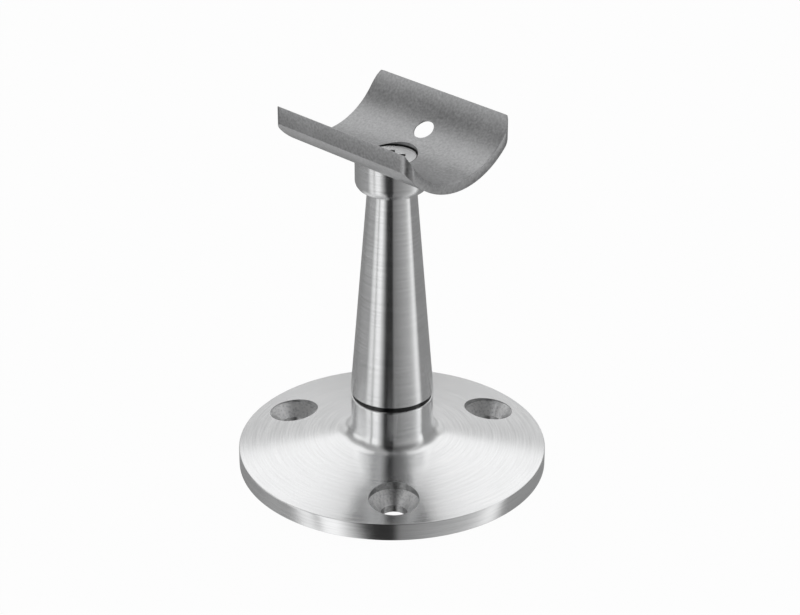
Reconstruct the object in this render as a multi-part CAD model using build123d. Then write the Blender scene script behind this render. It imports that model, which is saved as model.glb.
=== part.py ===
from build123d import *
import math
import os

# Handrail saddle post: a turned floor flange carries a tapered post, and a bent
# saddle plate on a milled collar holds a round handrail on top of it.
# Frame: origin at the centre of the flange's underside, +Z up, handrail along X.
# The saddle wing with the rail screw hole stands on the +Y side.
# Sizes are millimetres and degrees.

# Handrail, and the height of its centre above the floor, which sets the post's length
rail_diameter = 48.3
rail_axis_z = 132.0

# Floor flange, one turned piece with its hub
flange_diameter = 100.0
rim_height = 5.8
top_slope_deg = 7.9
hub_diameter = 26.7
hub_height = 24.2
hub_fillet = 4.7
hub_edge_break = 0.5
rim_edge_break = 0.3
floor_edge_break = 0.3

# Floor screws, M8 countersunk
floor_screw_count = 3
floor_screw_from_rim = 12.5
floor_screw_hole = 8.4
floor_screw_sink = 16.0
floor_screw_sink_wall = 0.3
floor_screw_turn_deg = -43.9
sink_angle_deg = 90.0

# Post, a long cone above a short neck that stands on the hub
neck_diameter = 25.7
neck_height = 1.6
post_base_diameter = 26.8
post_top_diameter = 15.5
post_edge_break = 0.3

# Stud that joins flange and post, M10
stud_diameter = 10.0
stud_length = 30.0
stud_in_hub = 15.0
tapped_hole_spare = 1.5

# Collar under the saddle
collar_diameter = 23.1
collar_height = 8.3
collar_round = 3.2

# Bent saddle plate, whose wings are cut upright just inside the rail's sides, down to
# a narrow edge
plate_thickness = 3.0
plate_length = 57.8
plate_side_inset = 1.75
plate_corner_round = 3.0
plate_edge_land = 0.1

# Rail screw, M6 countersunk from outside
rail_screw_hole = 6.8
rail_screw_sink = 12.0
rail_screw_deg = 34.8

# Saddle screw, M8 countersunk with a cross recess
screw_diameter = 8.0
screw_length = 25.0
screw_head_diameter = 15.2
screw_head_rim = 0.4
screw_head_below_rail = 0.15
screw_head_gap = 0.35
screw_clearance = 0.2
screw_turn_deg = 45.0
recess_width = 9.0
recess_floor_width = 4.6
recess_wing = 1.7
recess_depth = 3.2
thread_end_break = 0.8

# Heights and radii that follow from the sizes above
neck_z = hub_height
post_base_z = neck_z + neck_height
rail_radius = rail_diameter / 2
plate_outer_radius = rail_radius + plate_thickness
plate_width = rail_diameter - 2 * plate_side_inset
collar_seat_z = rail_axis_z - plate_outer_radius
post_top_z = collar_seat_z - collar_height
plate_edge_y = plate_width / 2 - plate_edge_land
plate_top_z = rail_axis_z - math.sqrt(rail_radius**2 - plate_edge_y**2)
screw_top_z = rail_axis_z - rail_radius - screw_head_below_rail
slope = math.tan(math.radians(top_slope_deg))
overshoot = 5.0


def top_surface_z(radius):
    """Height of the flange's sloping top at a radius from the axis."""
    return rim_height + slope * (flange_diameter / 2 - radius)


def turned(outline, rounds=(), breaks=()):
    """Turn a closed (radius, height) outline about Z, with listed corners rounded or broken."""
    face = make_face(Polyline(*[(r, 0, z) for r, z in outline], close=True))
    for (r, z), radius in rounds:
        face = fillet(face.vertices().sort_by_distance((r, 0, z))[0], radius)
    for (r, z), length in breaks:
        face = chamfer(face.vertices().sort_by_distance((r, 0, z))[0], length)
    return revolve(face, Axis.Z, 360)


def upright_hole(diameter, low_z, high_z):
    """Cylinder on the Z axis between two heights, used as a cutter or a shank."""
    return Pos(0, 0, low_z) * Cylinder(
        diameter / 2, high_z - low_z, align=(Align.CENTER, Align.CENTER, Align.MIN)
    )


def sink(hole_diameter, top_diameter, top_z, high_z):
    """Countersink cutter: a cone down to the hole and a straight wall above top_z."""
    depth = (top_diameter - hole_diameter) / 2 / math.tan(math.radians(sink_angle_deg / 2))
    outline = [
        (0, top_z - depth),
        (hole_diameter / 2, top_z - depth),
        (top_diameter / 2, top_z),
        (top_diameter / 2, high_z),
        (0, high_z),
    ]
    return turned(outline)


def floor_screw_cutters():
    """Three countersunk holes; each cone starts just below the low side of the slope."""
    ring = flange_diameter / 2 - floor_screw_from_rim
    cone_top_z = top_surface_z(ring + floor_screw_sink / 2) - floor_screw_sink_wall
    cutter = upright_hole(floor_screw_hole, -overshoot, cone_top_z) + sink(
        floor_screw_hole, floor_screw_sink, cone_top_z, hub_height
    )
    step = 360 / floor_screw_count
    return [
        Rot(0, 0, floor_screw_turn_deg + i * step) * Pos(ring, 0, 0) * cutter
        for i in range(floor_screw_count)
    ]


def make_base_flange():
    """Round flange with a gently sloping top, a filleted hub and a tapped hole."""
    rim = flange_diameter / 2
    hub = hub_diameter / 2
    hub_foot = (hub, top_surface_z(hub))
    outline = [(0, 0), (rim, 0), (rim, rim_height), hub_foot, (hub, hub_height), (0, hub_height)]
    breaks = [
        ((rim, rim_height), rim_edge_break),
        ((hub, hub_height), hub_edge_break),
        ((rim, 0), floor_edge_break),
    ]
    body = turned(outline, [(hub_foot, hub_fillet)], breaks)
    tapped = upright_hole(
        stud_diameter, hub_height - stud_in_hub - tapped_hole_spare, hub_height + overshoot
    )
    body -= tapped
    for cutter in floor_screw_cutters():
        body -= cutter
    return body


def make_joining_stud():
    """Stud half in the hub and half in the post, with both ends chamfered."""
    low = hub_height - stud_in_hub
    stud = upright_hole(stud_diameter, low, low + stud_length)
    return chamfer(stud.edges().filter_by(GeomType.CIRCLE), thread_end_break)


def make_tapered_post():
    """Cone on a recessed neck, tapped at the foot for the stud and on top for the screw."""
    neck = neck_diameter / 2
    foot = post_base_diameter / 2
    head = post_top_diameter / 2
    outline = [
        (0, neck_z),
        (neck, neck_z),
        (neck, post_base_z),
        (foot, post_base_z),
        (head, post_top_z),
        (0, post_top_z),
    ]
    body = turned(outline, breaks=[((foot, post_base_z), post_edge_break)])
    stud_top = hub_height - stud_in_hub + stud_length + tapped_hole_spare
    screw_end = screw_top_z - screw_length - tapped_hole_spare
    body -= upright_hole(stud_diameter, neck_z - overshoot, stud_top)
    body -= upright_hole(screw_diameter, screw_end, post_top_z + overshoot)
    return body


def screw_seat():
    """Clearance hole and countersink that the saddle screw needs in collar and plate."""
    hole = screw_diameter + 2 * screw_clearance
    wall_diameter = screw_head_diameter + 2 * screw_head_gap
    wall_z = screw_top_z - screw_head_rim + screw_head_gap
    straight = upright_hole(hole, post_top_z - overshoot, wall_z)
    return straight + sink(hole, wall_diameter, wall_z, rail_axis_z)


def rail_cylinder(radius, length):
    """Solid cylinder along the handrail's axis."""
    return Pos(0, 0, rail_axis_z) * Rot(0, 90, 0) * Cylinder(radius, length)


def make_saddle_collar():
    """Turned collar with a rounded lower edge, milled on top to the plate's curve."""
    radius = collar_diameter / 2
    high = rail_axis_z
    outline = [(0, post_top_z), (radius, post_top_z), (radius, high), (0, high)]
    body = turned(outline, [((radius, post_top_z), collar_round)])
    body -= rail_cylinder(plate_outer_radius, collar_diameter + 2 * overshoot)
    return body - screw_seat()


def rail_screw_cutter():
    """Hole through the drilled wing with its countersink on the outside."""
    depth = (rail_screw_sink - rail_screw_hole) / 2 / math.tan(math.radians(sink_angle_deg / 2))
    hole = rail_screw_hole / 2
    rim = rail_screw_sink / 2
    low = -plate_outer_radius
    outline = [
        (0, low - overshoot),
        (rim, low - overshoot),
        (rim, low),
        (hole, low + depth),
        (hole, overshoot - rail_radius),
        (0, overshoot - rail_radius),
    ]
    return Pos(0, 0, rail_axis_z) * Rot(rail_screw_deg, 0, 0) * turned(outline)


def make_saddle_plate():
    """Plate bent to the rail, cut upright all round, with its two countersunk holes."""
    long = plate_length + 2 * overshoot
    ring = rail_cylinder(plate_outer_radius, long) - rail_cylinder(rail_radius, long)
    upright = extrude(
        Pos(0, 0, collar_seat_z - overshoot)
        * RectangleRounded(plate_length, plate_width, plate_corner_round),
        plate_top_z - collar_seat_z + overshoot,
    )
    return (ring & upright) - rail_screw_cutter() - screw_seat()


def recess_cutter():
    """Cross recess: two crossing wings that narrow with depth."""
    wings = []
    wide = recess_width / 2
    narrow = recess_floor_width / 2
    for turn in (0, 90):
        outline = Polyline(
            (-wide, 0, screw_top_z),
            (-narrow, 0, screw_top_z - recess_depth),
            (narrow, 0, screw_top_z - recess_depth),
            (wide, 0, screw_top_z),
            close=True,
        )
        wing = extrude(make_face(outline), recess_wing / 2, dir=(0, 1, 0), both=True)
        wings.append(Rot(0, 0, turn + screw_turn_deg) * wing)
    return wings[0] + wings[1]


def make_saddle_screw():
    """Countersunk screw whose head lies just below the handrail."""
    head = screw_head_diameter / 2
    shank = screw_diameter / 2
    rim_z = screw_top_z - screw_head_rim
    cone_depth = (head - shank) / math.tan(math.radians(sink_angle_deg / 2))
    end_z = screw_top_z - screw_length
    outline = [
        (0, end_z),
        (shank - thread_end_break, end_z),
        (shank, end_z + thread_end_break),
        (shank, rim_z - cone_depth),
        (head, rim_z),
        (head, screw_top_z),
        (0, screw_top_z),
    ]
    return turned(outline) - recess_cutter()


nodes = {
    "base_flange": make_base_flange(),
    "joining_stud": make_joining_stud(),
    "tapered_post": make_tapered_post(),
    "saddle_collar": make_saddle_collar(),
    "saddle_plate": make_saddle_plate(),
    "saddle_screw": make_saddle_screw(),
}

os.makedirs("parts", exist_ok=True)
for name, shape in nodes.items():
    shape.label = name
    export_step(shape, f"parts/{name}.step")
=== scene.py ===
import math

import bmesh
import bpy
from mathutils import Matrix, Vector


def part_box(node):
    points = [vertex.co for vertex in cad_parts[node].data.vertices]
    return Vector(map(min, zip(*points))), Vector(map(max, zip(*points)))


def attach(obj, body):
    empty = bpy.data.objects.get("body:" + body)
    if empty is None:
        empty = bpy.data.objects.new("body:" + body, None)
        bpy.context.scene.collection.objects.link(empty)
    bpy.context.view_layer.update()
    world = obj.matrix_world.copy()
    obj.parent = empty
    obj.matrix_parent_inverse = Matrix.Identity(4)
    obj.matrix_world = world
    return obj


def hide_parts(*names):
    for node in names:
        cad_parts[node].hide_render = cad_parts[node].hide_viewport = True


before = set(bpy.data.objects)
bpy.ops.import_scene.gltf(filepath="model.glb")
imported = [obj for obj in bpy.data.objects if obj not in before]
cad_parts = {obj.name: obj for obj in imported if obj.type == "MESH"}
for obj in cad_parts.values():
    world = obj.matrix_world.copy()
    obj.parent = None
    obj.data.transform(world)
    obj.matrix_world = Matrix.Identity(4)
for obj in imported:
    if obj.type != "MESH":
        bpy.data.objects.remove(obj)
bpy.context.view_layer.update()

MM = 0.001

# Handrail saddle post: a turned floor flange, a tapered post, a milled collar and a
# bent saddle plate with its screw. Z is the post's axis, and the handrail lies along X.
# Sizes in millimetres and degrees, as the object measures.
TOP_SLOPE = 7.9
HUB_R = 13.35
HUB_FILLET = 4.7
HUB_EDGE = 0.55
RIM_H = 5.8
RIM_EDGE = 0.4
FLOOR_EDGE = 0.3
SINK_COUNT = 3
SINK_R = 8.0
SINK_HOLE_R = 4.2
SINK_WALL = 0.3
SINK_RING = 37.5
SINK_TURN = -43.9
NECK_R = 12.85
NECK_H = 1.6
POST_FOOT_R = 13.4
POST_HEAD_R = 7.75
POST_EDGE = 0.4
COLLAR_ROUND = 3.2
PLATE_THICK = 3.0
PLATE_CORNER = 3.0
PLATE_LAND = 0.3
PLATE_EDGE = 0.2
RAIL_R = 24.15
RAIL_HOLE_R = 3.4
RAIL_SINK_R = 6.0
RAIL_HOLE_ANGLE = 34.8
HEAD_R = 7.6
HEAD_RIM = 0.4
HEAD_EDGE = 0.25
HEAD_FOOT_EDGE = 0.05
HEAD_GAP = 0.35
SHANK_R = 4.0
SHANK_END = 0.6
SHANK_GAP = 0.2
SCREW_TURN = 45.0
RECESS_HALF = 4.5
RECESS_FLOOR_HALF = 2.3
RECESS_WING = 1.7
RECESS_DEPTH = 3.2
RECESS_OVER = 0.6

# Fineness of the meshes, in steps.
TURN_STEPS = 288
SCREW_STEPS = 192
SEAT_STEPS = 128
HOLE_STEPS = 96
ROUND_STEPS = 6
PLATE_COLUMNS = 72
PLATE_BEND_STEPS = 48
PLATE_CORNER_STEPS = 12
PLATE_EDGE_STEPS = 2

# Angles between faces from which an edge stays sharp, and from which the plate's edges
# are broken.
SHARP_ANGLE = math.radians(28)
BROKEN_ANGLE = math.radians(70)


def top_of(node):
    """Highest point of a CAD node, in millimetres."""
    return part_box(node)[1].z / MM


def foot_of(node):
    """Lowest point of a CAD node, in millimetres."""
    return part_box(node)[0].z / MM


FLANGE_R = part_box("base_flange")[1].x / MM
HUB_TOP = top_of("base_flange")
POST_TOP = top_of("tapered_post")
COLLAR_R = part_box("saddle_collar")[1].x / MM
SCREW_TOP = top_of("saddle_screw")
SCREW_FOOT = foot_of("saddle_screw")
PLATE_HALF_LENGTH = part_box("saddle_plate")[1].x / MM
PLATE_HALF_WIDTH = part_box("saddle_plate")[1].y / MM
OUTER_R = RAIL_R + PLATE_THICK
RAIL_Z = foot_of("saddle_plate") + OUTER_R


def rounded(corners):
    """Points of an open outline whose corners (x, y, radius) are rounded by arcs."""
    points = []
    for i, (x, y, radius) in enumerate(corners):
        here = Vector((x, y))
        if not radius or i in (0, len(corners) - 1):
            points.append(here)
            continue
        before = (Vector(corners[i - 1][:2]) - here).normalized()
        after = (Vector(corners[i + 1][:2]) - here).normalized()
        half = before.angle(after) / 2
        start = here + before * (radius / math.tan(half))
        end = here + after * (radius / math.tan(half))
        centre = here + (before + after).normalized() * (radius / math.sin(half))
        for k in range(ROUND_STEPS + 1):
            spoke = start.lerp(end, k / ROUND_STEPS) - centre
            points.append(centre + spoke.normalized() * radius)
    return [(p.x, p.y) for p in points]


def smooth(mesh):
    """Shades a mesh smooth, with its sharp edges kept sharp."""
    mesh.shade_smooth()
    mesh.set_sharp_from_angle(angle=SHARP_ANGLE)


def finished(name, mesh):
    """Object in the scene with a smoothly shaded mesh."""
    mesh.validate()
    smooth(mesh)
    obj = bpy.data.objects.new(name, mesh)
    bpy.context.scene.collection.objects.link(obj)
    return obj


def lathe(name, outline, steps=TURN_STEPS):
    """Closed solid turned about Z from an outline (radius, height) in millimetres."""
    mesh = bpy.data.meshes.new(name)
    bm = bmesh.new()
    rings = []
    for radius, height in outline:
        if radius == 0:
            rings.append([bm.verts.new((0, 0, height * MM))])
            continue
        ring = []
        for k in range(steps):
            turn = 2 * math.pi * k / steps
            spot = (radius * math.cos(turn) * MM, radius * math.sin(turn) * MM, height * MM)
            ring.append(bm.verts.new(spot))
        rings.append(ring)
    for low, high in zip(rings, rings[1:]):
        for k in range(steps):
            a, b = k, (k + 1) % steps
            below = (low[a % len(low)], low[b % len(low)])
            above = (high[b % len(high)], high[a % len(high)])
            bm.faces.new(dict.fromkeys(below + above))
    bmesh.ops.recalc_face_normals(bm, faces=bm.faces)
    bm.to_mesh(mesh)
    bm.free()
    return finished(name, mesh)


def cut(obj, cutters):
    """Cuts cutter solids out of obj and removes them."""
    for cutter in cutters:
        modifier = obj.modifiers.new("cut", "BOOLEAN")
        modifier.operation = "DIFFERENCE"
        modifier.solver = "EXACT"
        modifier.object = cutter
    bpy.context.view_layer.update()
    evaluated = obj.evaluated_get(bpy.context.evaluated_depsgraph_get())
    mesh = bpy.data.meshes.new_from_object(evaluated)
    obj.modifiers.clear()
    obj.data = mesh
    smooth(mesh)
    for cutter in cutters:
        bpy.data.objects.remove(cutter)
    return obj


def placed(obj, matrix):
    """obj with its vertices moved by a matrix, its own place left at the origin."""
    obj.data.transform(matrix)
    return obj


def top_surface(radius):
    """Height of the flange's sloping top at a radius from the axis."""
    return RIM_H + math.tan(math.radians(TOP_SLOPE)) * (FLANGE_R - radius)


def base_flange():
    """Disc with a sloping top and a filleted hub, drilled for countersunk screws."""
    outline = rounded(
        [
            (0, 0, 0),
            (FLANGE_R, 0, FLOOR_EDGE),
            (FLANGE_R, RIM_H, RIM_EDGE),
            (HUB_R, top_surface(HUB_R), HUB_FILLET),
            (HUB_R, HUB_TOP, HUB_EDGE),
            (0, HUB_TOP, 0),
        ]
    )
    disc = lathe("base_flange_turned", outline)
    cone_top = top_surface(SINK_RING + SINK_R) - SINK_WALL
    cone_foot = cone_top - (SINK_R - SINK_HOLE_R)
    cutter_outline = [
        (0, -HUB_TOP),
        (SINK_HOLE_R, -HUB_TOP),
        (SINK_HOLE_R, cone_foot),
        (SINK_R, cone_top),
        (SINK_R, HUB_TOP),
        (0, HUB_TOP),
    ]
    holes = []
    for k in range(SINK_COUNT):
        hole = lathe("hole", cutter_outline, HOLE_STEPS)
        turn = Matrix.Rotation(math.radians(SINK_TURN + 360 / SINK_COUNT * k), 4, "Z")
        holes.append(placed(hole, turn @ Matrix.Translation((SINK_RING * MM, 0, 0))))
    return cut(disc, holes)


def tapered_post():
    """Long cone above a short neck, which leaves a groove over the hub."""
    foot_z = HUB_TOP + NECK_H
    outline = rounded(
        [
            (0, HUB_TOP, 0),
            (NECK_R, HUB_TOP, 0),
            (NECK_R, foot_z, 0),
            (POST_FOOT_R, foot_z, POST_EDGE),
            (POST_HEAD_R, POST_TOP, 0),
            (0, POST_TOP, 0),
        ]
    )
    return lathe("tapered_post_turned", outline)


def rail_cylinder(radius, half_length):
    """Fine cylinder along the handrail's axis, as a cutter."""
    outline = [(0, -half_length), (radius, -half_length), (radius, half_length), (0, half_length)]
    rod = lathe("rail", outline)
    turn = Matrix.Rotation(math.pi / 2, 4, "Y")
    return placed(rod, Matrix.Translation((0, 0, RAIL_Z * MM)) @ turn)


def screw_seat():
    """Cutter for the saddle screw's countersink and clearance hole."""
    wall_z = SCREW_TOP - HEAD_RIM + HEAD_GAP
    wall_r = HEAD_R + HEAD_GAP
    hole_r = SHANK_R + SHANK_GAP
    outline = [
        (0, HUB_TOP),
        (hole_r, HUB_TOP),
        (hole_r, wall_z - (wall_r - hole_r)),
        (wall_r, wall_z),
        (wall_r, RAIL_Z),
        (0, RAIL_Z),
    ]
    return lathe("seat", outline, SEAT_STEPS)


def saddle_collar():
    """Short collar with a rounded foot, milled on top to the plate's curve."""
    outline = rounded(
        [
            (0, POST_TOP, 0),
            (COLLAR_R, POST_TOP, COLLAR_ROUND),
            (COLLAR_R, RAIL_Z, 0),
            (0, RAIL_Z, 0),
        ]
    )
    collar = lathe("saddle_collar_turned", outline)
    return cut(collar, [rail_cylinder(OUTER_R, 2 * COLLAR_R), screw_seat()])


def plate_half_length(y):
    """Half length of the plate, seen from above, at a distance from its middle line."""
    over = abs(y) - (PLATE_HALF_WIDTH - PLATE_CORNER)
    if over <= 0:
        return PLATE_HALF_LENGTH
    return PLATE_HALF_LENGTH - PLATE_CORNER + math.sqrt(max(PLATE_CORNER**2 - over**2, 0))


def plate_rows():
    """Distances from the middle line where the plate's mesh has a row of points."""
    straight = PLATE_HALF_WIDTH - PLATE_CORNER
    reach = math.asin(straight / RAIL_R)
    rows = [
        RAIL_R * math.sin(reach * k / PLATE_BEND_STEPS) for k in range(PLATE_BEND_STEPS + 1)
    ]
    rows += [
        straight + PLATE_CORNER * math.sin(math.pi / 2 * k / PLATE_CORNER_STEPS)
        for k in range(1, PLATE_CORNER_STEPS + 1)
    ]
    rows.append(PLATE_HALF_WIDTH - PLATE_LAND)
    rows.sort()
    return [-y for y in rows[:0:-1]] + rows


def plate_mesh():
    """Bent plate as an inner and an outer skin above the same plan, with upright sides."""
    mesh = bpy.data.meshes.new("saddle_plate_bent")
    bm = bmesh.new()
    land_y = PLATE_HALF_WIDTH - PLATE_LAND
    skins = []
    for radius in (RAIL_R, OUTER_R):
        skin = []
        for y in plate_rows():
            bend_y = min(abs(y), land_y) if radius == RAIL_R else y
            z = RAIL_Z - math.sqrt(radius**2 - bend_y**2)
            half = plate_half_length(y)
            spots = [half * (2 * k / PLATE_COLUMNS - 1) for k in range(PLATE_COLUMNS + 1)]
            skin.append([bm.verts.new((x * MM, y * MM, z * MM)) for x in spots])
        skins.append(skin)
    for skin in skins:
        for low, high in zip(skin, skin[1:]):
            for k in range(PLATE_COLUMNS):
                bm.faces.new((low[k], low[k + 1], high[k + 1], high[k]))
    rims = []
    for skin in skins:
        start = [row[0] for row in skin]
        end = [row[-1] for row in skin]
        rims.append(skin[0] + end[1:] + skin[-1][::-1][1:] + start[::-1][1:-1])
    for k in range(len(rims[0])):
        bm.faces.new((rims[0][k - 1], rims[0][k], rims[1][k], rims[1][k - 1]))
    bmesh.ops.recalc_face_normals(bm, faces=bm.faces)
    bm.to_mesh(mesh)
    bm.free()
    return mesh


def saddle_plate():
    """Bent plate with finely broken edges, its screw seat and the rail screw's hole."""
    plate = finished("saddle_plate_bent", plate_mesh())
    bevel = plate.modifiers.new("edge", "BEVEL")
    bevel.limit_method = "ANGLE"
    bevel.angle_limit = BROKEN_ANGLE
    bevel.width = PLATE_EDGE * MM
    bevel.segments = PLATE_EDGE_STEPS
    sink_depth = RAIL_SINK_R - RAIL_HOLE_R
    outline = [
        (0, -2 * OUTER_R),
        (RAIL_SINK_R, -2 * OUTER_R),
        (RAIL_SINK_R, -OUTER_R),
        (RAIL_HOLE_R, sink_depth - OUTER_R),
        (RAIL_HOLE_R, -RAIL_R / 2),
        (0, -RAIL_R / 2),
    ]
    turn = Matrix.Rotation(math.radians(RAIL_HOLE_ANGLE), 4, "X")
    lift = Matrix.Translation((0, 0, RAIL_Z * MM))
    drill = placed(lathe("drill", outline, HOLE_STEPS), lift @ turn)
    return cut(plate, [drill, screw_seat()])


def cross_recess():
    """Two crossing wedges that narrow with depth."""
    wedges = []
    for turn in (0, 90):
        bm = bmesh.new()
        bmesh.ops.create_cube(bm, size=2)
        for vert in bm.verts:
            if vert.co.z > 0:
                reach, height = RECESS_HALF, SCREW_TOP + RECESS_OVER
            else:
                reach, height = RECESS_FLOOR_HALF, SCREW_TOP - RECESS_DEPTH
            vert.co = Vector((vert.co.x * reach, vert.co.y * RECESS_WING / 2, height)) * MM
        mesh = bpy.data.meshes.new("wedge")
        bm.to_mesh(mesh)
        bm.free()
        wedge = finished("wedge", mesh)
        wedges.append(placed(wedge, Matrix.Rotation(math.radians(SCREW_TURN + turn), 4, "Z")))
    return wedges


def saddle_screw():
    """Countersunk screw with a cross recess."""
    rim_z = SCREW_TOP - HEAD_RIM
    outline = rounded(
        [
            (0, SCREW_FOOT, 0),
            (SHANK_R, SCREW_FOOT, SHANK_END),
            (SHANK_R, rim_z - (HEAD_R - SHANK_R), 0),
            (HEAD_R, rim_z, HEAD_FOOT_EDGE),
            (HEAD_R, SCREW_TOP, HEAD_EDGE),
            (0, SCREW_TOP, 0),
        ]
    )
    return cut(lathe("saddle_screw_turned", outline, SCREW_STEPS), cross_recess())


# Sockets of the colour mix node, whose names repeat for each type.
MIX_FACTOR, MIX_A, MIX_B, MIX_RESULT = 0, 6, 7, 2


def opaque(grey):
    """Colour of a plain grey."""
    return grey, grey, grey, 1


def about(middle, spread):
    """Span that reaches as far below its middle as above it."""
    return middle - spread, middle + spread


class Nodes:
    """Small helper that adds and links shader nodes."""

    def __init__(self, tree):
        self.tree = tree
        tree.nodes.clear()

    def add(self, kind, inputs=(), **settings):
        node = self.tree.nodes.new(kind)
        for key, value in settings.items():
            setattr(node, key, value)
        for key, value in dict(inputs).items():
            if isinstance(value, bpy.types.NodeSocket):
                self.tree.links.new(value, node.inputs[key])
            else:
                node.inputs[key].default_value = value
        return node

    def math(self, operation, a, b=0.0):
        return self.add("ShaderNodeMath", {0: a, 1: b}, operation=operation).outputs[0]

    def times(self, first, *others):
        """Product of two or more values."""
        for other in others:
            first = self.math("MULTIPLY", first, other)
        return first

    def weighed(self, a, b, share):
        """Share of a, with the rest of b."""
        return self.math("ADD", self.times(a, share), self.times(b, 1 - share))

    def span(self, value, source, target, soft=False):
        """value carried from one (low, high) span to another and held at its ends."""
        low, high = source
        to_low, to_high = target
        inputs = {
            "Value": value,
            "From Min": low,
            "From Max": high,
            "To Min": to_low,
            "To Max": to_high,
        }
        kind = "SMOOTHSTEP" if soft else "LINEAR"
        node = self.add("ShaderNodeMapRange", inputs, interpolation_type=kind)
        return node.outputs["Result"]

    def noise(self, vector, cells, detail):
        """Noise with a number of cells per unit of the vector's space."""
        inputs = {"Vector": vector, "Scale": cells, "Detail": detail}
        return self.add("ShaderNodeTexNoise", inputs).outputs[0]

    def grey(self, value, tint):
        """Colour of a grey value times a tint."""
        node = self.add("ShaderNodeVectorMath", {0: tint, "Scale": value}, operation="SCALE")
        return node.outputs[0]

    def place(self):
        """Place on the object in metres: as a vector, as its distance from the Z axis,
        and as its x, y and z."""
        whole = self.add("ShaderNodeTexCoord").outputs["Object"]
        x, y, z = self.add("ShaderNodeSeparateXYZ", {0: whole}).outputs
        square = self.math("ADD", self.times(x, x), self.times(y, y))
        return whole, self.math("SQRT", square), x, y, z


def new_material(name):
    """Empty material, and the helper for its nodes."""
    material = bpy.data.materials.new(name)
    material.use_nodes = True
    return material, Nodes(material.node_tree)


# Turned steel: noise cells per metre across the turning lines, along them and in the
# broad clouds, the share of the lines in the wear, the spans of wear that carry tone
# and roughness up and down, and the way the shine runs.
LINE_CELLS = 1900.0
STREAK_CELLS = 70.0
CLOUD_CELLS = 70.0
LINE_SHARE = 0.7
TONE_WEAR = (0.35, 0.65)
TONE_SPREAD = 0.06
ROUGH_WEAR = (0.3, 0.7)
ROUGH_SPREAD = 0.03
SHINE_TURN = 0.25
STEEL_TINT = (0.99, 0.995, 1.0)

# Painted shade in a groove: what it leaves of the tone, its soft edge, and how far below
# a face it starts, in millimetres.
PAINTED_SHADE_TONE = 0.06
GROOVE_SOFT = 0.15
GROOVE_START = 0.1

# Countersinks: how far past the cone's rim they are looked for, in millimetres, the
# slope from which a face is flat, the painted shade from steep slopes to gentle ones,
# which darkens their walls, the speckle of the grain, and how much rougher they are.
SINK_MARGIN = 0.5
SINK_FLAT = 0.9
SINK_SLOPES = (0.3, 0.6)
SINK_SHADE_TONES = (0.6, 1.05)
SPECKLE_NOISE = (0.3, 0.7)
SPECKLE_TONES = (0.75, 1.15)
SINK_ROUGH = 0.18

# Blasted sheet: noise cells per metre in the grain and the clouds, the grain's share,
# the span of noise that carries tone and roughness up and down, and the grain's relief
# with its depth in millimetres.
GRAIN_CELLS = 1300.0
SHEET_CLOUD_CELLS = 90.0
GRAIN_SHARE = 0.75
SHEET_NOISE = (0.3, 0.7)
SHEET_TONE_SPREAD = 0.11
SHEET_ROUGH_SPREAD = 0.05
GRAIN_RELIEF = 0.6
GRAIN_DEPTH = 0.04
SHEET_TINT = (0.985, 0.99, 1.0)

# Painted shade on the wall of the screw's seat: its soft edges past the wall and above
# the screw's head, in millimetres, and how much of the tone it takes.
SEAT_SIDE = (0.02, 0.12)
SEAT_HEIGHT = (0.3, 0.6)
SEAT_SHADE = 0.95


def countersinks(n, whole, radius):
    """Where the flange's countersinks are, as 1 inside and 0 outside, and their tone: painted
    shade on steep walls, times the grain's speckle.
    """
    facing = n.add("ShaderNodeTexCoord").outputs["Normal"]
    upright = n.math("ABSOLUTE", n.add("ShaderNodeSeparateXYZ", {0: facing}).outputs[2])
    off_ring = n.math("ABSOLUTE", n.math("SUBTRACT", radius, SINK_RING * MM))
    near = n.math("LESS_THAN", off_ring, (SINK_R + SINK_MARGIN) * MM)
    sunk = n.times(near, n.math("LESS_THAN", upright, SINK_FLAT))
    grain = n.noise(whole, GRAIN_CELLS, detail=2.0)
    speckle = n.span(grain, SPECKLE_NOISE, SPECKLE_TONES)
    return sunk, n.times(n.span(upright, SINK_SLOPES, SINK_SHADE_TONES), speckle)


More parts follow.
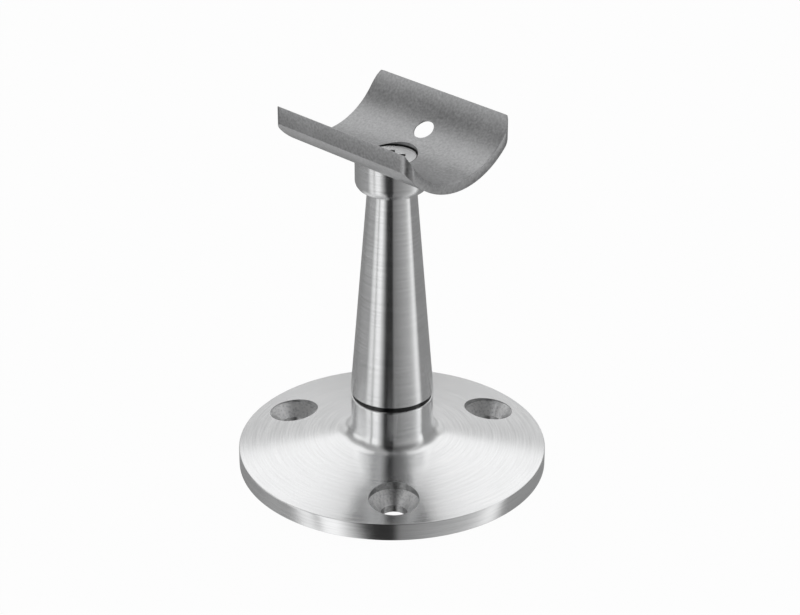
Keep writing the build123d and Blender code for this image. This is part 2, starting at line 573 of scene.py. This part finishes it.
def turned_steel(name, grey, roughness, line_depth, shine=1.0, dark=None, holes=False):
    """Steel with turning lines round the Z axis, line_depth millimetres deep. dark is a
    (low, high) span of heights in millimetres that gets painted shade, as in a groove, and
    holes makes the flange's countersinks rougher, with painted shade on their steep walls."""
    material, n = new_material(name)
    whole, radius, x, y, z = n.place()
    streak = n.add(
        "ShaderNodeCombineXYZ",
        {
            0: n.times(n.math("ADD", radius, z), LINE_CELLS),
            1: n.times(x, STREAK_CELLS),
            2: n.times(y, STREAK_CELLS),
        },
    )
    lines = n.noise(streak.outputs[0], cells=1.0, detail=2.0)
    wear = n.weighed(lines, n.noise(whole, CLOUD_CELLS, detail=3.0), LINE_SHARE)
    tone = n.span(wear, TONE_WEAR, about(grey, TONE_SPREAD))
    rough = n.span(wear, ROUGH_WEAR, about(roughness, ROUGH_SPREAD))
    # Painted shade: the colour is darkened over the span of heights given as dark.
    if dark:
        middle, reach = (dark[0] + dark[1]) / 2 * MM, (dark[1] - dark[0]) / 2 * MM
        away = n.math("ABSOLUTE", n.math("SUBTRACT", z, middle))
        shade = n.span(away, (reach - GROOVE_SOFT * MM, reach), (PAINTED_SHADE_TONE, 1.0))
        tone = n.times(tone, shade)
    # Painted shade on the countersinks' steep walls, times the grain's speckle.
    if holes:
        sunk, sink_shade_and_speckle = countersinks(n, whole, radius)
        change = n.times(sunk, n.math("SUBTRACT", sink_shade_and_speckle, 1.0))
        tone = n.times(tone, n.math("ADD", change, 1.0))
        rough = n.math("ADD", rough, n.times(sunk, SINK_ROUGH))
    relief = {"Height": lines, "Strength": 1.0, "Distance": line_depth * MM}
    bump = n.add("ShaderNodeBump", relief)
    tangent = n.add("ShaderNodeTangent", direction_type="RADIAL", axis="Z")
    shader = n.add(
        "ShaderNodeBsdfPrincipled",
        {
            "Base Color": n.grey(tone, STEEL_TINT),
            "Metallic": 1.0,
            "Roughness": rough,
            "Anisotropic": shine,
            "Anisotropic Rotation": SHINE_TURN,
            "Normal": bump.outputs[0],
            "Tangent": tangent.outputs[0],
        },
    )
    n.add("ShaderNodeOutputMaterial", {"Surface": shader.outputs[0]})
    return material


def blasted_steel(name, grey, roughness):
    """Matte steel sheet with a fine even grain, and painted shade on the screw seat's wall."""
    material, n = new_material(name)
    whole, radius, _, _, z = n.place()
    grain = n.noise(whole, GRAIN_CELLS, detail=2.0)
    both = n.weighed(grain, n.noise(whole, SHEET_CLOUD_CELLS, detail=4.0), GRAIN_SHARE)
    tone = n.span(both, SHEET_NOISE, about(grey, SHEET_TONE_SPREAD))
    # Painted shade: darker on the wall of the screw's seat, up to just above the head's face.
    side = [(HEAD_R + HEAD_GAP + past) * MM for past in SEAT_SIDE]
    height = [(SCREW_TOP + past) * MM for past in SEAT_HEIGHT]
    shade = n.times(n.span(radius, side, (1, 0)), n.span(z, height, (SEAT_SHADE, 0)))
    tone = n.times(tone, n.math("SUBTRACT", 1.0, shade))
    relief = {"Height": grain, "Strength": GRAIN_RELIEF, "Distance": GRAIN_DEPTH * MM}
    bump = n.add("ShaderNodeBump", relief)
    shader = n.add(
        "ShaderNodeBsdfPrincipled",
        {
            "Base Color": n.grey(tone, SHEET_TINT),
            "Metallic": 1.0,
            "Roughness": n.span(both, SHEET_NOISE, about(roughness, SHEET_ROUGH_SPREAD)),
            "Normal": bump.outputs[0],
        },
    )
    n.add("ShaderNodeOutputMaterial", {"Surface": shader.outputs[0]})
    return material


def dress(obj, material, slot, *nodes):
    """Gives obj its material, hangs it under the root body and hides the CAD nodes that it shows.
    """
    obj.data.materials.clear()
    obj.data.materials.append(material)
    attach(obj, "root")
    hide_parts(*nodes)


flange_steel = turned_steel(
    "turned_steel_flange", grey=0.95, roughness=0.21, line_depth=0.009, holes=True
)
groove = (HUB_TOP - GROOVE_START, HUB_TOP + NECK_H)
post_steel = turned_steel(
    "turned_steel_post", grey=0.88, roughness=0.24, line_depth=0.003, dark=groove
)
collar_steel = turned_steel("turned_steel_collar", grey=0.86, roughness=0.24, line_depth=0.003)
# Painted shade on the screw below the face of its head, where its recess shows.
painted_shade_below_face = (SCREW_FOOT - 1, SCREW_TOP - GROOVE_START)
screw_steel = turned_steel(
    "screw_steel", grey=0.95, roughness=0.5, line_depth=0.004, shine=0.2, dark=painted_shade_below_face
)
stud_steel = turned_steel("stud_steel", grey=0.62, roughness=0.4, line_depth=0.02)
sheet_steel = blasted_steel("blasted_steel", grey=0.49, roughness=0.40)

dress(base_flange(), flange_steel, "turned_steel_flange", "base_flange")
dress(tapered_post(), post_steel, "turned_steel_post", "tapered_post")
dress(saddle_collar(), collar_steel, "turned_steel_collar", "saddle_collar")
dress(saddle_plate(), sheet_steel, "blasted_steel", "saddle_plate")
dress(saddle_screw(), screw_steel, "screw_steel", "saddle_screw")

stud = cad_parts["joining_stud"]
stud.data.materials.clear()
stud.data.materials.append(stud_steel)

# Camera: its turn round the post, how far back and how high it stands, how it is aimed
# and its sensor, in millimetres and degrees. The focal length is in pixels of the
# picture, and the clip distances are in metres.
CAMERA_TURN = 45.2
CAMERA_BACK = 621.83
CAMERA_HEIGHT = 372.32
CAMERA_YAW = 0.232
CAMERA_PITCH = 27.016
CAMERA_ROLL = 0.127
FOCAL_PX = 2200.0
PICTURE_WIDTH_PX = 800.0
SENSOR = 36.0
CLIP_START = 0.01
CLIP_END = 50


def make_camera():
    """Camera that looks down at the object across a corner of its saddle."""
    yaw, pitch, roll = (math.radians(a) for a in (CAMERA_YAW, CAMERA_PITCH, CAMERA_ROLL))
    ahead = Vector(
        (math.sin(yaw) * math.cos(pitch), math.cos(yaw) * math.cos(pitch), -math.sin(pitch))
    )
    side = Vector((math.cos(yaw), -math.sin(yaw), 0))
    up = side.cross(ahead)
    right = side * math.cos(roll) + up * math.sin(roll)
    over = up * math.cos(roll) - side * math.sin(roll)
    stand = Matrix((right, over, -ahead)).transposed().to_4x4()
    stand.translation = Vector((0, -CAMERA_BACK, CAMERA_HEIGHT)) * MM
    data = bpy.data.cameras.new("camera")
    data.sensor_width = SENSOR
    data.lens = FOCAL_PX * SENSOR / PICTURE_WIDTH_PX
    data.clip_start = CLIP_START
    data.clip_end = CLIP_END
    camera = bpy.data.objects.new("camera", data)
    camera.matrix_world = Matrix.Rotation(math.radians(CAMERA_TURN), 4, "Z") @ stand
    bpy.context.scene.collection.objects.link(camera)
    bpy.context.scene.camera = camera


# Studio: brightness of the surroundings by compass angle, 0 towards the camera and
# positive to its right.
BANDS = [
    (-180, 0.27),
    (-78, 0.27),
    (-70, 0.85),
    (-60, 0.85),
    (-56, 0.30),
    (-52, 1.0),
    (-40, 1.0),
    (-33, 0.60),
    (-26, 0.25),
    (-20, 0.03),
    (1, 0.03),
    (6, 0.20),
    (41, 0.37),
    (56, 0.45),
    (66, 0.58),
    (76, 0.95),
    (84, 0.95),
    (88, 0.27),
    (180, 0.27),
]
# Wall behind the object by height, the sine of the angle above the horizon. A bright
# overhead panel starts in it at a level edge.
BACK_WALL = [
    (0.0, 0.70),
    (0.19, 0.74),
    (0.36, 0.52),
    (0.42, 0.48),
    (0.46, 0.50),
    (0.49, 1.0),
    (1.0, 1.0),
]
# Soft edges of the studio's parts, as (start, end). Each is the cosine of a direction's
# angle from one axis: straight up for FOOT and HEAD, the camera's right for LEFT, RIGHT
# and SIDE, right or left for HALF_WIDTH, the back for DEPTH and the front for FRONT.
WALL_DEPTH = (0.0, 0.25)
WALL_FOOT = (-0.05, 0.05)
WALL_HALF_WIDTH = (0.55, 0.70)
# Dark gap in the middle of the overhead panel.
GAP_HALF_WIDTH = (0.075, 0.105)
GAP_FOOT = (0.52, 0.58)
# White card far to the left.
CARD_SIDE = (-0.97, -0.85)
CARD_FOOT = (-0.10, 0.0)
CARD_HEAD = (0.3, 0.45)
# Pale patch low on the left, and its grey.
PATCH_LEFT = (-0.75, -0.66)
PATCH_RIGHT = (-0.35, -0.15)
PATCH_HEAD = (-0.75, -0.62)
PATCH_GREY = 0.8
# Dimmed space high in front, and how much of its light is gone.
DIM_FRONT = (0.0, 0.2)
DIM_FOOT = (0.4, 0.6)
DIM_SHARE = 0.6


def make_world():
    """Studio that lights the object and shows in its metal, and is white to the camera."""
    world = bpy.data.worlds.new("studio")
    world.use_nodes = True
    bpy.context.scene.world = world
    n = Nodes(world.node_tree)
    way = n.add("ShaderNodeTexCoord").outputs["Generated"]
    turn = math.radians(CAMERA_TURN)
    front = Vector((math.sin(turn), -math.cos(turn), 0))
    right = Vector((math.cos(turn), math.sin(turn), 0))

    def towards(axis):
        """Cosine of the direction's angle from an axis."""
        inputs = {0: way, 1: axis}
        return n.add("ShaderNodeVectorMath", inputs, operation="DOT_PRODUCT").outputs["Value"]

    def ramp(value, stops):
        """Greys along a value, from stops (value, grey)."""
        node = n.add("ShaderNodeValToRGB", {"Fac": value})
        elements = node.color_ramp.elements
        while len(elements) > 1:
            elements.remove(elements[-1])
        for k, (place, grey) in enumerate(stops):
            element = elements[0] if k == 0 else elements.new(place)
            element.position = place
            element.color = opaque(grey)
        return node.outputs[0]

    def blend(factor, a, b):
        """Colour a where the factor is 0, and b where it is 1."""
        sockets = {MIX_FACTOR: factor, MIX_A: a, MIX_B: b}
        return n.add("ShaderNodeMix", sockets, data_type="RGBA").outputs[MIX_RESULT]

    def fade_in(value, edge, full=1.0):
        return n.span(value, edge, (0, full), soft=True)

    def fade_out(value, edge):
        return n.span(value, edge, (1, 0), soft=True)

    rise = towards(Vector((0, 0, 1)))
    sideways = towards(right)
    off_middle = n.math("ABSOLUTE", sideways)
    facing = towards(front)

    compass = n.math("ARCTAN2", sideways, facing)
    stops = [((angle + 180) / 360, grey) for angle, grey in BANDS]
    bands = ramp(n.span(compass, (-math.pi, math.pi), (0, 1)), stops)
    dim = n.times(fade_in(facing, DIM_FRONT), fade_in(rise, DIM_FOOT, DIM_SHARE))
    card = n.times(
        fade_out(sideways, CARD_SIDE), fade_in(rise, CARD_FOOT), fade_out(rise, CARD_HEAD)
    )
    sides = blend(card, blend(dim, bands, opaque(0)), opaque(1))

    gap = n.times(fade_out(off_middle, GAP_HALF_WIDTH), fade_in(rise, GAP_FOOT))
    wall = blend(gap, ramp(rise, BACK_WALL), opaque(0))
    behind = n.times(
        fade_in(towards(-front), WALL_DEPTH),
        fade_in(rise, WALL_FOOT),
        fade_out(off_middle, WALL_HALF_WIDTH),
    )
    patch = n.times(
        fade_out(sideways, PATCH_RIGHT),
        fade_in(sideways, PATCH_LEFT),
        fade_out(rise, PATCH_HEAD),
    )
    lit = blend(patch, blend(behind, sides, wall), opaque(PATCH_GREY))

    studio = n.add("ShaderNodeBackground", {"Color": lit, "Strength": 1.0})
    white = n.add("ShaderNodeBackground", {"Color": opaque(1), "Strength": 1.0})
    seen = n.add("ShaderNodeLightPath").outputs["Is Camera Ray"]
    mix = n.add("ShaderNodeMixShader", {0: seen, 1: studio.outputs[0], 2: white.outputs[0]})
    n.add("ShaderNodeOutputWorld", {"Surface": mix.outputs[0]})


# Floor: half its side and how far it lies below the object, in metres, the grey of its
# paper, and how much of it is plain white to the camera.
FLOOR_HALF = 3.0
FLOOR_DROP = 0.0001
FLOOR_GREY = 0.9
FLOOR_WHITE = 0.97


def make_floor():
    """Wide pale floor that doesn't show in the metal."""
    mesh = bpy.data.meshes.new("floor")
    signs = ((-1, -1), (1, -1), (1, 1), (-1, 1))
    corners = [(x * FLOOR_HALF, y * FLOOR_HALF, 0) for x, y in signs]
    mesh.from_pydata(corners, [], [(0, 1, 2, 3)])
    floor = bpy.data.objects.new("floor", mesh)
    bpy.context.scene.collection.objects.link(floor)
    floor.location.z = -FLOOR_DROP
    floor.visible_glossy = False
    material, n = new_material("floor_paper")
    paper = n.add("ShaderNodeBsdfDiffuse", {"Color": opaque(FLOOR_GREY)})
    glow = n.add("ShaderNodeEmission", {"Color": opaque(1), "Strength": 1.0})
    seen = n.add("ShaderNodeLightPath").outputs["Is Camera Ray"]
    share = n.times(seen, FLOOR_WHITE)
    mix = n.add("ShaderNodeMixShader", {0: share, 1: paper.outputs[0], 2: glow.outputs[0]})
    n.add("ShaderNodeOutputMaterial", {"Surface": mix.outputs[0]})
    mesh.materials.append(material)


make_camera()
make_world()
make_floor()
bpy.context.scene.view_settings.view_transform = "Standard"
